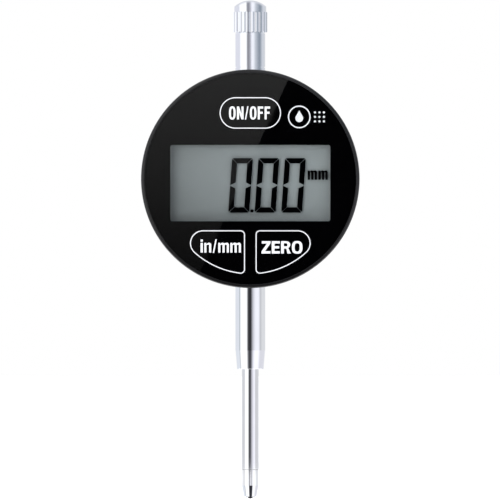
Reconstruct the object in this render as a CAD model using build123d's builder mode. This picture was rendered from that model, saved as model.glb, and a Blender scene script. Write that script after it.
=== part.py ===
from build123d import *
import os

# Electronic dial indicator with 25.4 mm of spindle travel, an 8 mm stem and a vertical lug on its back.
# Millimetres. +Z runs up the spindle's axis towards the top cap, the display faces -Y and +X is to its
# right. The origin is the middle of the stem's 8 mm cylinder. Heights are given above the head's centre.

# Head
head_z = 37.6
head_r = 29.25
wall = 2.2
inner_r = head_r - wall
rim_y = -13.0
rim_fillet = 0.9
rim_r = head_r - rim_fillet
shell_back_y = 6.0
cover_y = 6.4
rear_y = 9.5
rear_fillet = 1.4

# Face, from the front: clear lens, printed film, the shell's front wall
lens_y = -12.85
lens_back_y = -11.98
film_y = -11.95
front_wall_y = -11.8
front_wall_back_y = -10.3
face_r = rim_r - 0.1
window_w, window_h, window_z = 42.8, 20.5, -1.15
window_corner = 0.6

# Keys
key_clearance = 0.15
power_key_w, power_key_h, power_key_z = 16.7, 8.7, 17.6
low_key_gap, low_key_top = 2.55, -13.65
low_key_arc_r, low_key_arc_z = 22.6, -3.1
low_key_inner_fillet, low_key_outer_fillet = 1.3, 3.6
key_front_y = -12.95
key_flange, key_flange_y, key_flange_back_y = 0.5, -10.2, -9.6
membrane_r, membrane_t, membrane_skirt = 26.85, 0.4, 0.4
key_post_r, key_post_back_y = 1.6, -8.8
key_posts = {"on_off": (0, power_key_z), "unit": (-8.5, -18.8), "zero": (8.5, -18.8)}
plunger_r, plunger_back_y = 1.2, -7.6
switch_side, switch_y = 4.5, -8.1

# Display
lcd_w, lcd_front_h, lcd_back_h = 45.0, 22.9, 20.4
lcd_y, lcd_mid_y, lcd_back_y = -10.2, -9.2, -8.2
reflector_y, reflector_back_y = -8.17, -8.05
zebra_w, zebra_t = 40.0, 1.0

# Main board and its screws
board_r, board_half_h = 26.6, 22.0
board_y, board_back_y = -6.7, -5.7
board_screw_r, board_boss_r = 0.7, 1.6
board_screws = [(x, z) for x in (-18.8, 18.8) for z in (-16.5, 16.5)]

# Stem and sleeve
stem_r, stem_end_r, bore_r = 4.0, 3.6, 3.0
stem_band_r, stem_band_low = 4.2, -29.05
stem_root_r, stem_shoulder, stem_top = 4.75, -27.0, -23.5
stem_taper_top, stem_low = -46.0, -51.0
sleeve_low, sleeve_boss_low, sleeve_shoulder, sleeve_top = 13.0, 23.5, 39.1, 44.0
sleeve_bore_r, thread_r = 2.7, 3.45

# Spindle line
spindle_r, spindle_low, spindle_top = 2.25, -77.95, 20.5
running_gap, thread_gap = 0.03, 0.05
point_r, point_end_r, point_top, point_straight_low, point_low = 2.18, 1.65, -78.05, -82.3, -85.2
point_stud_r, point_stud_l = 1.25, 5.0
ball_r, ball_z = 1.25, -84.95

# Cap: round-bottomed flutes 0.25 mm deep, cut by circles centred flute_out beyond its side
cap_r, cap_ribs, cap_dome_r = 4.58, 24, 4.28
flute_r, flute_out = 0.55, 0.3
cap_low, cap_knurl_top, cap_shoulder, cap_top = 39.4, 44.95, 46.3, 48.0
cap_dome_arc_r = (cap_dome_r**2 + (cap_top - cap_shoulder) ** 2) / (2 * (cap_top - cap_shoulder))

# Moving scale, return spring and guide, inside the head
carrier_low, carrier_top = -22.5, -13.4
carrier_x0, carrier_x1, carrier_y0, carrier_y1 = -3.4, 5.5, -4.3, 4.2
arm_x0, arm_y0, arm_y1, arm_top, foot_low, foot_x1 = 4.4, -3.9, -0.9, -5.6, -6.8, 9.0
strip_w, strip_y, strip_low, strip_top = 8.0, -5.0, -22.8, -2.8
reader_y = -5.2
spring_x, spring_y, spring_r, spring_wire_r, spring_turns = 7.5, -2.4, 1.5, 0.2, 15
spring_low, spring_top, stud_r = -22.6, -7.3, 1.1
guide_y, guide_z, guide_pin_r = 1.0, -17.5, 0.7
shoe_half, shoe_x0, shoe_x1 = 1.3, 9.9, 11.7
rail_x0, rail_x1, rail_y0, rail_y1 = 9.6, 12.8, -1.25, 4.6
boss_x0, boss_x1, boss_y0 = -7.0, 13.4, -6.0

# Battery, behind and to the left of the spindle
battery_x, battery_r, battery_y, battery_back_y = -14.8, 10.0, 3.3, 6.5
tray_r, tray_wall, tray_y, tray_floor_y = 10.3, 0.55, 1.9, 2.7
lead_x, lead_z, lead_r = -12.0, 3.5, 0.4
hatch_r, hatch_hub_r, hatch_bore_r, hatch_seat_r = 11.15, 10.2, 10.5, 11.35
hatch_seat_y, hatch_hub_y, hatch_flange_y, hatch_back_y = 8.1, 6.9, 8.6, 9.7
coin_slot_w, coin_slot_l, coin_slot_depth = 1.8, 15.0, 0.9

# Lug and the cover's screws
lug_t, lug_r, lug_reach, lug_hole_r = 5.0, 7.0, 7.5, 3.25
cover_boss_r, cover_boss_y, cover_screw_r = 2.3, -2.0, 0.8
cover_screws = [(x, z) for x in (-18.0, 18.0) for z in (-18.0, 18.0)]


def facing(y):
    """The plane at depth y that faces the front, centred on the head: local x is right, local y is up."""
    return Plane(origin=(0, y, head_z), x_dir=(1, 0, 0), z_dir=(0, -1, 0))


def level(height, x=0, y=0):
    """The horizontal plane at a height above the head's centre."""
    return Plane.XY.offset(head_z + height).move(Location((x, y, 0)))


def save(builder, name):
    """Labels a finished sub-part and writes its STEP file."""
    builder.part.label = name
    export_step(builder.part, f"parts/{name}.step")


def block(x0, x1, y0, y1, low, high, mode=Mode.ADD):
    """A block between two corners, its heights above the head's centre."""
    with Locations(((x0 + x1) / 2, (y0 + y1) / 2, head_z + (low + high) / 2)):
        Box(x1 - x0, y1 - y0, high - low, mode=mode)


def disc(y0, y1, radius, places=((0, 0),), mode=Mode.ADD):
    """Round discs, posts or holes along Y between two depths."""
    with Locations(*[(x, (y0 + y1) / 2, head_z + z) for x, z in places]):
        Cylinder(radius, y1 - y0, rotation=(90, 0, 0), mode=mode)


def turned(name, outline):
    """A piece turned about the spindle's axis from its half section, as (radius, height) points."""
    with BuildPart() as piece:
        with BuildSketch(facing(0)):
            with BuildLine():
                Polyline(*outline, close=True)
            make_face()
        revolve(axis=Axis.Z)
    save(piece, name)


def ring(name, outer_r, hole_r, low, high, edge=0.1):
    """A bush, seal or bumper on the spindle's axis, with its outer edges broken."""
    turned(name, [
        (hole_r, low),
        (outer_r - edge, low),
        (outer_r, low + edge),
        (outer_r, high - edge),
        (outer_r - edge, high),
        (hole_r, high),
    ])


def sheet(name, outline, y0, y1):
    """A flat piece of a given outline between two depths."""
    with BuildPart() as piece:
        with BuildSketch(facing(y1)):
            add(outline)
        extrude(amount=y1 - y0)
    save(piece, name)


os.makedirs("parts", exist_ok=True)

# ---------------------------------------------------------------- face layout
with BuildSketch() as on_off_outline:
    with Locations((0, power_key_z)):
        SlotOverall(power_key_w, power_key_h)

with BuildSketch() as zero_outline:
    with Locations((0, low_key_arc_z)):
        Circle(low_key_arc_r)
    with Locations((low_key_gap / 2, low_key_top)):
        Rectangle(head_r, head_r, align=(Align.MIN, Align.MAX), mode=Mode.INTERSECT)
    fillet(zero_outline.vertices().group_by(Axis.X)[0], low_key_inner_fillet)
    fillet(zero_outline.vertices().sort_by(Axis.X)[-1], low_key_outer_fillet)

key_outlines = {
    "on_off": on_off_outline.sketch,
    "unit": mirror(zero_outline.sketch, about=Plane.YZ),
    "zero": zero_outline.sketch,
}

with BuildSketch() as key_holes:
    for key_outline in key_outlines.values():
        add(key_outline)
    offset(amount=key_clearance)

with BuildSketch() as window:
    with Locations((0, window_z)):
        RectangleRounded(window_w, window_h, window_corner)

with BuildSketch() as lens_outline:
    Circle(face_r)
    add(key_holes.sketch, mode=Mode.SUBTRACT)

with BuildSketch() as film_outline:
    add(lens_outline.sketch)
    add(window.sketch, mode=Mode.SUBTRACT)

sheet("face_lens", lens_outline.sketch, lens_y, lens_back_y)
sheet("face_film", film_outline.sketch, film_y, front_wall_y)

# ---------------------------------------------------------------- front housing
with BuildPart() as inside:
    disc(rim_y, shell_back_y, inner_r + wall / 2)

with BuildPart() as bosses:
    block(boss_x0, boss_x1, boss_y0, shell_back_y, -head_r, stem_top)
    block(boss_x0, boss_x1, boss_y0, shell_back_y, sleeve_boss_low, head_r)
    disc(cover_boss_y, shell_back_y, cover_boss_r, cover_screws)
    add(inside.part, mode=Mode.INTERSECT)

with BuildPart() as front_housing:
    disc(rim_y, shell_back_y, head_r)
    fillet(front_housing.edges().sort_by(Axis.Y)[0], rim_fillet - 0.02)
    disc(front_wall_back_y, shell_back_y, inner_r, mode=Mode.SUBTRACT)
    disc(rim_y, front_wall_y, rim_r, mode=Mode.SUBTRACT)
    with BuildSketch(facing(front_wall_back_y)):
        add(window.sketch)
        add(key_holes.sketch)
    extrude(amount=front_wall_back_y - front_wall_y, mode=Mode.SUBTRACT)
    add(bosses.part)
    disc(front_wall_back_y, board_y, board_boss_r, board_screws)
    # seats of the stem and the sleeve
    with BuildSketch(level(-head_r)):
        Circle(stem_band_r)
    extrude(amount=head_r + stem_shoulder, mode=Mode.SUBTRACT)
    with BuildSketch(level(stem_shoulder)):
        Circle(stem_root_r)
    extrude(amount=stem_top - stem_shoulder, mode=Mode.SUBTRACT)
    with BuildSketch(level(sleeve_boss_low)):
        Circle(stem_r)
    extrude(amount=head_r - sleeve_boss_low, mode=Mode.SUBTRACT)
    # holes of the screws, the spring's post and the rail's pins
    disc(cover_boss_y + 1.0, shell_back_y, cover_screw_r, cover_screws, mode=Mode.SUBTRACT)
    disc(front_wall_back_y, board_y, board_screw_r, board_screws, mode=Mode.SUBTRACT)
    with BuildSketch(level(stem_top, spring_x, spring_y)):
        Circle(0.8)
    extrude(amount=-2.0, mode=Mode.SUBTRACT)
    for end, direction in ((stem_top, -1), (sleeve_boss_low, 1)):
        with BuildSketch(level(end, 11.0, 3.5)):
            Circle(0.6)
        extrude(amount=direction * 1.5, mode=Mode.SUBTRACT)
save(front_housing, "front_housing")

# ---------------------------------------------------------------- rear cover with its lug
with BuildPart() as rear_cover:
    disc(cover_y, rear_y, head_r)
    fillet(rear_cover.edges().sort_by(Axis.Y)[-1], rear_fillet)
    # spigot that centres the cover in the shell, open at the bosses
    with BuildSketch(facing(cover_y)):
        Circle(inner_r - 0.1)
        Circle(inner_r - 1.3, mode=Mode.SUBTRACT)
        with Locations(*cover_screws):
            Circle(cover_boss_r + 0.4, mode=Mode.SUBTRACT)
        with Locations(((boss_x0 + boss_x1) / 2, 0)):
            Rectangle(boss_x1 - boss_x0 + 1, 2 * head_r, mode=Mode.SUBTRACT)
    extrude(amount=1.6)
    # lug in the plane of the spindle's axis
    with BuildSketch(Plane.YZ.offset(-lug_t / 2)):
        with Locations((rear_y + lug_reach, head_z)):
            Circle(lug_r)
        with Locations((rear_y - 1.0, head_z)):
            Rectangle(lug_reach + 1.0, 2 * lug_r, align=(Align.MIN, Align.CENTER))
    extrude(amount=lug_t)
    feet = rear_cover.edges().filter_by(Axis.Z).filter_by_position(Axis.Y, rear_y - 0.01, rear_y + 0.01)
    fillet(feet, 0.8)
    with BuildSketch(Plane.YZ.offset(-lug_t)):
        with Locations((rear_y + lug_reach, head_z)):
            Circle(lug_hole_r)
    extrude(amount=2 * lug_t, mode=Mode.SUBTRACT)
    # battery opening with a seat for its hatch
    disc(hatch_seat_y, rear_y, hatch_seat_r, [(battery_x, 0)], mode=Mode.SUBTRACT)
    disc(cover_y, hatch_seat_y, hatch_bore_r, [(battery_x, 0)], mode=Mode.SUBTRACT)
    with Locations(facing(rear_y).rotated((180, 0, 0))):
        with Locations(*[(x, -z) for x, z in cover_screws]):
            CounterSinkHole(radius=1.1, counter_sink_radius=2.1, depth=rear_y - cover_y)
save(rear_cover, "rear_cover")

with BuildSketch() as gasket_outline:
    Circle(head_r - 0.5)
    Circle(inner_r + 0.2, mode=Mode.SUBTRACT)
sheet("rear_gasket", gasket_outline.sketch, shell_back_y, cover_y)

with BuildPart() as cover_screw_set:
    disc(cover_boss_y + 1.5, rear_y - 0.1, cover_screw_r, cover_screws)
    with Locations(*[(x, rear_y - 0.65, head_z + z) for x, z in cover_screws]):
        Cone(0.95, 1.95, 1.1, rotation=(-90, 0, 0))
        Box(2.0, 1.1, 0.45, mode=Mode.SUBTRACT)
        Box(0.45, 1.1, 2.0, mode=Mode.SUBTRACT)
save(cover_screw_set, "cover_screws")

# ---------------------------------------------------------------- display
with BuildPart() as lcd_panel:
    with Locations((0, 0, head_z + window_z)):
        with Locations((0, (lcd_y + lcd_mid_y) / 2, 0)):
            Box(lcd_w, lcd_mid_y - lcd_y, lcd_front_h)
        with Locations((0, (lcd_mid_y + lcd_back_y) / 2, 0)):
            Box(lcd_w, lcd_back_y - lcd_mid_y, lcd_back_h)
save(lcd_panel, "lcd_panel")

with BuildSketch() as reflector_outline:
    with Locations((0, window_z)):
        Rectangle(lcd_w, lcd_back_h)
sheet("lcd_reflector", reflector_outline.sketch, reflector_y, reflector_back_y)

with BuildSketch() as frame_outline:
    with Locations((0, window_z)):
        Rectangle(lcd_w - 0.4, lcd_back_h - 0.4)
        Rectangle(lcd_w - 5.0, lcd_back_h - 4.0, mode=Mode.SUBTRACT)
sheet("lcd_frame", frame_outline.sketch, reflector_back_y, board_y)

with BuildSketch() as zebra_outline:
    ledge_z = (lcd_front_h + lcd_back_h) / 4
    with Locations((0, window_z - ledge_z), (0, window_z + ledge_z)):
        Rectangle(zebra_w, zebra_t)
sheet("zebra_strips", zebra_outline.sketch, lcd_mid_y, board_y)

# ---------------------------------------------------------------- keys, their membrane and switches
membrane_y0, membrane_y1 = key_post_back_y - membrane_t / 2, key_post_back_y + membrane_t / 2
with BuildPart() as keypad_membrane:
    disc(front_wall_back_y, board_y, membrane_r)
    disc(front_wall_back_y, membrane_y0, membrane_r - membrane_skirt, mode=Mode.SUBTRACT)
    disc(membrane_y1, board_y, membrane_r - membrane_skirt, mode=Mode.SUBTRACT)
    with Locations((0, key_post_back_y, head_z + window_z)):
        Box(lcd_w + 0.4, 2.0, lcd_front_h + 0.4, mode=Mode.SUBTRACT)
    disc(membrane_y0, membrane_y1, key_post_r + 0.3, key_posts.values(), mode=Mode.SUBTRACT)
    disc(front_wall_back_y, board_y, board_boss_r + 0.15, board_screws, mode=Mode.SUBTRACT)
save(keypad_membrane, "keypad_membrane")

for key_name, key_outline in key_outlines.items():
    post = [key_posts[key_name]]
    with BuildPart() as key:
        with BuildSketch(facing(key_flange_back_y)) as flange:
            add(key_outline)
            offset(amount=key_flange)
        extrude(amount=key_flange_back_y - key_flange_y)
        with BuildSketch(facing(key_flange_y)):
            add(key_outline)
        extrude(amount=key_flange_y - key_front_y)
        fillet(key.faces().sort_by(Axis.Y)[0].edges(), 0.12)
        disc(key_flange_back_y, key_post_back_y, key_post_r, post)
    save(key, f"{key_name}_button")

    with BuildPart() as plunger:
        disc(key_post_back_y, plunger_back_y, plunger_r, post)
    save(plunger, f"{key_name}_plunger")

    with BuildPart() as switch:
        with Locations((post[0][0], (switch_y + board_y) / 2, head_z + post[0][1])):
            Box(switch_side, board_y - switch_y, switch_side)
        disc(switch_y, board_y - 0.3, plunger_r + 0.12, post, mode=Mode.SUBTRACT)
    save(switch, f"{key_name}_switch")

# ---------------------------------------------------------------- boards
with BuildPart() as main_board:
    disc(board_y, board_back_y, board_r)
    with Locations((0, board_y, head_z)):
        Box(2 * board_r, 4, 2 * board_half_h, mode=Mode.INTERSECT)
    disc(board_y, board_back_y, board_screw_r + 0.05, board_screws, mode=Mode.SUBTRACT)
save(main_board, "main_board")

with BuildPart() as board_screw_set:
    disc(front_wall_back_y, board_back_y + 0.9, board_screw_r, board_screws)
    disc(board_back_y, board_back_y + 0.9, 1.3, board_screws)
    for x, z in board_screws:
        block(x - 1.0, x + 1.0, board_back_y + 0.4, board_back_y + 0.9, z - 0.2, z + 0.2, Mode.SUBTRACT)
        block(x - 0.2, x + 0.2, board_back_y + 0.4, board_back_y + 0.9, z - 1.0, z + 1.0, Mode.SUBTRACT)
save(board_screw_set, "board_screws")

with BuildPart() as reader_board:
    block(-4.5, 4.5, board_back_y, reader_y, -21.0, 18.0)
save(reader_board, "reader_board")

with BuildPart() as processor:
    block(-16.0, -9.0, board_back_y, board_back_y + 1.0, 9.5, 16.5)
save(processor, "processor")

with BuildPart() as crystal:
    block(-15.0, -10.0, board_back_y, board_back_y + 1.6, -13.5, -11.5)
    fillet(crystal.edges().filter_by(Axis.X), 0.5)
save(crystal, "crystal")

# ---------------------------------------------------------------- stem, sleeve and their bushes
turned("stem", [
    (bore_r, stem_low),
    (stem_end_r - 0.06, stem_low),
    (stem_end_r, stem_low + 0.06),
    (stem_r, stem_taper_top),
    (stem_r, stem_band_low),
    (stem_band_r, stem_band_low),
    (stem_band_r, stem_shoulder),
    (stem_root_r, stem_shoulder),
    (stem_root_r, stem_top),
    (bore_r, stem_top),
])
turned("top_sleeve", [
    (sleeve_bore_r, sleeve_top),
    (thread_r - 0.2, sleeve_top),
    (thread_r, sleeve_top - 0.2),
    (thread_r, sleeve_shoulder),
    (stem_r, sleeve_shoulder),
    (stem_r, 30.15),
    (stem_r - 0.2, 30.15),
    (stem_r - 0.2, 29.9),
    (stem_r, 29.9),
    (stem_r, sleeve_low),
    (bore_r, sleeve_low),
    (bore_r, sleeve_low + 6.5),
    (sleeve_bore_r, sleeve_low + 6.5),
])
ring("stem_lower_bush", bore_r, spindle_r + running_gap, -49.6, -43.6)
ring("stem_upper_bush", bore_r, spindle_r + running_gap, -29.6, -23.6)
ring("sleeve_bush", bore_r, spindle_r + running_gap, sleeve_low, sleeve_low + 6.5)
ring("wiper_seal", bore_r, spindle_r + running_gap, stem_low + 0.1, -49.7)
ring("lower_bumper", 4.4, bore_r, stem_top, stem_top + 0.7)

# ---------------------------------------------------------------- spindle, contact point and ball
with BuildPart() as spindle:
    with Locations((0, 0, head_z + (spindle_low + spindle_top) / 2)):
        Cylinder(spindle_r, spindle_top - spindle_low)
    chamfer(spindle.edges().sort_by(Axis.Z)[0], 0.04)
    chamfer(spindle.edges().sort_by(Axis.Z)[-1], 0.4)
    with BuildSketch(level(spindle_low)):
        Circle(point_stud_r + thread_gap)
    extrude(amount=point_stud_l + 0.3, mode=Mode.SUBTRACT)
save(spindle, "spindle")

with BuildPart() as contact_point:
    with BuildSketch(facing(0)):
        with BuildLine():
            Polyline(
                (0, spindle_low + point_stud_l),
                (point_stud_r, spindle_low + point_stud_l),
                (point_stud_r, point_top),
                (point_r, point_top),
                (point_r, point_straight_low),
                (point_end_r, point_low),
                (0, point_low),
                close=True,
            )
        make_face()
    revolve(axis=Axis.Z)
    with Locations((0, 0, head_z + ball_z)):
        Sphere(ball_r, mode=Mode.SUBTRACT)
save(contact_point, "contact_point")
ring("contact_washer", point_r - 0.02, point_stud_r + 0.02, point_top, spindle_low - 0.01, edge=0.02)

with BuildPart() as contact_ball:
    with Locations((0, 0, head_z + ball_z)):
        Sphere(ball_r)
save(contact_ball, "contact_ball")

# ---------------------------------------------------------------- scale carrier and scale
with BuildPart() as scale_carrier:
    block(carrier_x0, carrier_x1, carrier_y0, carrier_y1, carrier_low, carrier_top)
    block(arm_x0, carrier_x1, arm_y0, arm_y1, carrier_top, arm_top)
    block(arm_x0, foot_x1, arm_y0, arm_y1, foot_low, arm_top)
    with BuildSketch(level(carrier_low)):
        Circle(spindle_r)
    extrude(amount=carrier_top - carrier_low, mode=Mode.SUBTRACT)
    disc(spindle_r - 0.5, carrier_y1, 0.8, [(0, -20.0), (0, -16.0)], mode=Mode.SUBTRACT)
    with BuildSketch(level(foot_low, spring_x, spring_y)):
        Circle(0.8)
    extrude(amount=arm_top - foot_low, mode=Mode.SUBTRACT)
    with Locations((carrier_x1, guide_y, head_z + guide_z)):
        Cylinder(guide_pin_r, 5.0, rotation=(0, 90, 0), mode=Mode.SUBTRACT)
save(scale_carrier, "scale_carrier")

with BuildPart() as carrier_screws:
    disc(spindle_r + 0.01, carrier_y1 - 0.3, 0.8, [(0, -20.0), (0, -16.0)])
    disc(carrier_y1 - 1.1, carrier_y1 - 0.3, 0.4, [(0, -20.0), (0, -16.0)], mode=Mode.SUBTRACT)
save(carrier_screws, "carrier_screws")

with BuildPart() as scale_strip:
    block(-strip_w / 2, strip_w / 2, strip_y, carrier_y0, strip_low, strip_top)
save(scale_strip, "scale_strip")

ring("upper_bumper", 3.4, spindle_r, carrier_top, carrier_top + 0.6)

# ---------------------------------------------------------------- guide against turning
with BuildPart() as guide_pin:
    with Locations(((carrier_x1 - 2.5 + shoe_x1) / 2, guide_y, head_z + guide_z)):
        Cylinder(guide_pin_r, shoe_x1 - carrier_x1 + 2.5, rotation=(0, 90, 0))
save(guide_pin, "guide_pin")

with BuildPart() as guide_shoe:
    block(shoe_x0, shoe_x1, guide_y - shoe_half, guide_y + shoe_half, guide_z - 1.6, guide_z + 1.6)
    fillet(guide_shoe.edges().filter_by(Axis.X), 0.3)
    with Locations((shoe_x0, guide_y, head_z + guide_z)):
        Cylinder(guide_pin_r, 6.0, rotation=(0, 90, 0), mode=Mode.SUBTRACT)
save(guide_shoe, "guide_shoe")

slot_y0, slot_y1 = guide_y - shoe_half - 0.05, guide_y + shoe_half + 0.05
with BuildPart() as guide_rail:
    block(rail_x0, rail_x1, rail_y0, rail_y1, stem_top, sleeve_boss_low)
    block(rail_x0, shoe_x1 + 0.3, slot_y0, slot_y1, stem_top, sleeve_boss_low, Mode.SUBTRACT)
    for end, direction in ((stem_top, 1), (sleeve_boss_low, -1)):
        with BuildSketch(level(end, 11.0, 3.5)):
            Circle(0.6)
        extrude(amount=direction * 2.5, mode=Mode.SUBTRACT)
save(guide_rail, "guide_rail")

with BuildPart() as rail_pins:
    with Locations((11.0, 3.5, head_z + stem_top + 0.5), (11.0, 3.5, head_z + sleeve_boss_low - 0.5)):
        Cylinder(0.6, 4.0)
save(rail_pins, "rail_pins")

# ---------------------------------------------------------------- return spring between two studs
with BuildPart() as spring_post:
    with Locations((spring_x, spring_y, head_z + stem_top - 1.0)):
        Cylinder(0.8, 2.0)
    with Locations((spring_x, spring_y, head_z + stem_top + 1.5)):
        Cylinder(stud_r, 3.0)
    chamfer(spring_post.edges().sort_by(Axis.Z)[-1], 0.3)
save(spring_post, "spring_post")

with BuildPart() as spring_stud:
    with Locations((spring_x, spring_y, head_z + (foot_low + arm_top) / 2)):
        Cylinder(0.8, arm_top - foot_low)
    with Locations((spring_x, spring_y, head_z + foot_low - 1.25)):
        Cylinder(stud_r, 2.5)
    chamfer(spring_stud.edges().sort_by(Axis.Z)[0], 0.3)
save(spring_stud, "spring_stud")

with BuildPart() as return_spring:
    with BuildLine() as coil:
        Helix(
            pitch=(spring_top - spring_low) / spring_turns,
            height=spring_top - spring_low,
            radius=spring_r,
            center=(spring_x, spring_y, head_z + spring_low),
        )
    with BuildSketch(Plane(origin=coil.line @ 0, z_dir=coil.line % 0)):
        Circle(spring_wire_r)
    sweep(is_frenet=True)
save(return_spring, "return_spring")

# ---------------------------------------------------------------- battery, its tray and its hatch
battery_at = [(battery_x, 0)]
with BuildPart() as battery:
    disc(battery_y, battery_back_y, battery_r, battery_at)
    fillet(battery.edges().filter_by(GeomType.CIRCLE), 0.25)
save(battery, "battery")

with BuildPart() as battery_tray:
    disc(tray_y, cover_y, tray_r + tray_wall, battery_at)
    disc(tray_floor_y, cover_y, tray_r, battery_at, mode=Mode.SUBTRACT)
    disc(tray_y, cover_y, lead_r, [(lead_x, -lead_z), (lead_x, lead_z)], mode=Mode.SUBTRACT)
save(battery_tray, "battery_tray")

contact_t = 0.15
strip_z0, strip_z1 = -lead_z - 1.0, -lead_z + 1.0
with BuildPart() as battery_contact_negative:
    block(battery_x - 5.0, lead_x + 1.0, tray_floor_y, tray_floor_y + contact_t, strip_z0, strip_z1)
    block(battery_x - 5.0, battery_x - 3.0, tray_floor_y, battery_y, strip_z0, strip_z1)
save(battery_contact_negative, "battery_contact_negative")

with BuildPart() as battery_contact_positive:
    with BuildSketch(facing(battery_back_y - 0.8)):
        with Locations((battery_x, 0)):
            Circle(tray_r)
            Circle(battery_r, mode=Mode.SUBTRACT)
            Rectangle(2 * tray_r, 6.0, align=(Align.MIN, Align.CENTER), mode=Mode.INTERSECT)
    extrude(amount=battery_back_y - 0.8 - tray_floor_y)
    block(lead_x + 1.0, battery_x + tray_r - 0.1, tray_floor_y, tray_floor_y + contact_t, -1.0, 1.0)
    block(lead_x - 1.0, lead_x + 1.0, tray_floor_y, tray_floor_y + contact_t, -1.0, lead_z + 0.6)
save(battery_contact_positive, "battery_contact_positive")

with BuildPart() as battery_leads:
    disc(board_back_y, tray_floor_y, lead_r, [(lead_x, -lead_z), (lead_x, lead_z)])
save(battery_leads, "battery_leads")

with BuildPart() as hatch_seal:
    disc(hatch_flange_y - 0.4, hatch_flange_y, hatch_r, battery_at)
    disc(hatch_flange_y - 0.4, hatch_flange_y, hatch_hub_r, battery_at, mode=Mode.SUBTRACT)
save(hatch_seal, "hatch_seal")

with BuildPart() as battery_hatch:
    disc(hatch_flange_y, hatch_back_y, hatch_r, battery_at)
    fillet(battery_hatch.edges().sort_by(Axis.Y)[-1], 0.3)
    disc(hatch_hub_y, hatch_flange_y, hatch_hub_r, battery_at)
    with Locations((battery_x, hatch_back_y, head_z)):
        Box(coin_slot_w, 2 * coin_slot_depth, coin_slot_l, mode=Mode.SUBTRACT)
save(battery_hatch, "battery_hatch")

# ---------------------------------------------------------------- top cap
ring("cap_washer", stem_r - 0.05, thread_r + 0.1, cap_low - 0.2, cap_low, edge=0.05)

with BuildPart() as top_cap:
    with BuildSketch(facing(0)):
        with BuildLine():
            RadiusArc((cap_dome_r, cap_shoulder), (0, cap_top), -cap_dome_arc_r)
            Polyline(
                (0, cap_top),
                (0, spindle_top + 26.4),
                (thread_r - 0.75, spindle_top + 26.4),
                (thread_r - 0.75, sleeve_top + 0.2),
                (thread_r + 0.06, sleeve_top + 0.2),
                (thread_r + 0.06, cap_low),
                (cap_r - 0.1, cap_low),
                (cap_r, cap_low + 0.1),
                (cap_r, cap_knurl_top - 0.25),
                (cap_dome_r, cap_knurl_top),
                (cap_dome_r, cap_shoulder),
            )
        make_face()
    revolve(axis=Axis.Z)
    with BuildSketch(level(cap_low)):
        with PolarLocations(cap_r + flute_out, cap_ribs):
            Circle(flute_r)
    extrude(amount=cap_knurl_top - cap_low, mode=Mode.SUBTRACT)
save(top_cap, "top_cap")
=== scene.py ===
"""The looks of a digital dial indicator: materials, printed marks, display segments and return spring."""
import math

import bpy
from mathutils import Matrix, Vector


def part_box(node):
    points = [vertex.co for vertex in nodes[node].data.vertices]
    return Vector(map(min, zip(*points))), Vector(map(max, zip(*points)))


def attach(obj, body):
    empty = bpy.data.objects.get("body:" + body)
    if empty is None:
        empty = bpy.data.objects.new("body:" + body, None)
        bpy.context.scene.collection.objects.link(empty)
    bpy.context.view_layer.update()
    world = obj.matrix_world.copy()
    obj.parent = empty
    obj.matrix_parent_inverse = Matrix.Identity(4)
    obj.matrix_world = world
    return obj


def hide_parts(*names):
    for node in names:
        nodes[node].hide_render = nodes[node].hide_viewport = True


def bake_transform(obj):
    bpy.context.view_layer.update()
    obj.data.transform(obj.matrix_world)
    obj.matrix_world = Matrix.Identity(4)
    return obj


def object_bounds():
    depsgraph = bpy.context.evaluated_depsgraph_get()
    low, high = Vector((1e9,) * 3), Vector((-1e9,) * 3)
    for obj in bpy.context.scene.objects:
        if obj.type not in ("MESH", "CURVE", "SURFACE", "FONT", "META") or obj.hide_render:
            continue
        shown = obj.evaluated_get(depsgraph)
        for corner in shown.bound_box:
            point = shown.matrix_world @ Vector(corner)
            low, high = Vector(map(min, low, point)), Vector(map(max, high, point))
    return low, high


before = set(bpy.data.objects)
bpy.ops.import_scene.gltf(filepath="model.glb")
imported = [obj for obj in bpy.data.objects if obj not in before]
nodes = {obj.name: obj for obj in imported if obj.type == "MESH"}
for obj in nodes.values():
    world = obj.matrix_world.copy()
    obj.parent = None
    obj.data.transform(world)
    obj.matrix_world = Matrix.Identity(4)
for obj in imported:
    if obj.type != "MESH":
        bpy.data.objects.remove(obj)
bpy.context.view_layer.update()
cad_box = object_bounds()

MM = 0.001
scene = bpy.context.scene
scene.view_settings.view_transform = "Standard"

# ---------------------------------------------------------------- places from the frame, in millimetres


def box_mm(node):
    """The node's lowest and highest corners in millimetres."""
    low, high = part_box(node)
    return Vector(low) / MM, Vector(high) / MM


head_low, head_high = box_mm("front_housing")
HEAD_Z = (head_low.z + head_high.z) / 2
KEY_FRONT = box_mm("on_off_button")[0].y
FILM_FRONT = box_mm("face_film")[0].y
CELL_BACK = box_mm("lcd_panel")[1].y


# ---------------------------------------------------------------- materials


class Nodes:
    """Helpers that add nodes to a tree. Each one returns the socket that carries its result."""

    def __init__(self, tree):
        self.tree = tree
        self.tree.nodes.clear()

    def plug(self, socket, value):
        """Links a socket to another one, or sets it to a number or colour."""
        if isinstance(value, bpy.types.NodeSocket):
            self.tree.links.new(value, socket)
        else:
            socket.default_value = value

    def maths(self, operation, *values):
        """A Math node on numbers or sockets."""
        made = self.tree.nodes.new("ShaderNodeMath")
        made.operation = operation
        for socket, value in zip(made.inputs, values):
            self.plug(socket, value)
        return made.outputs[0]


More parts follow.
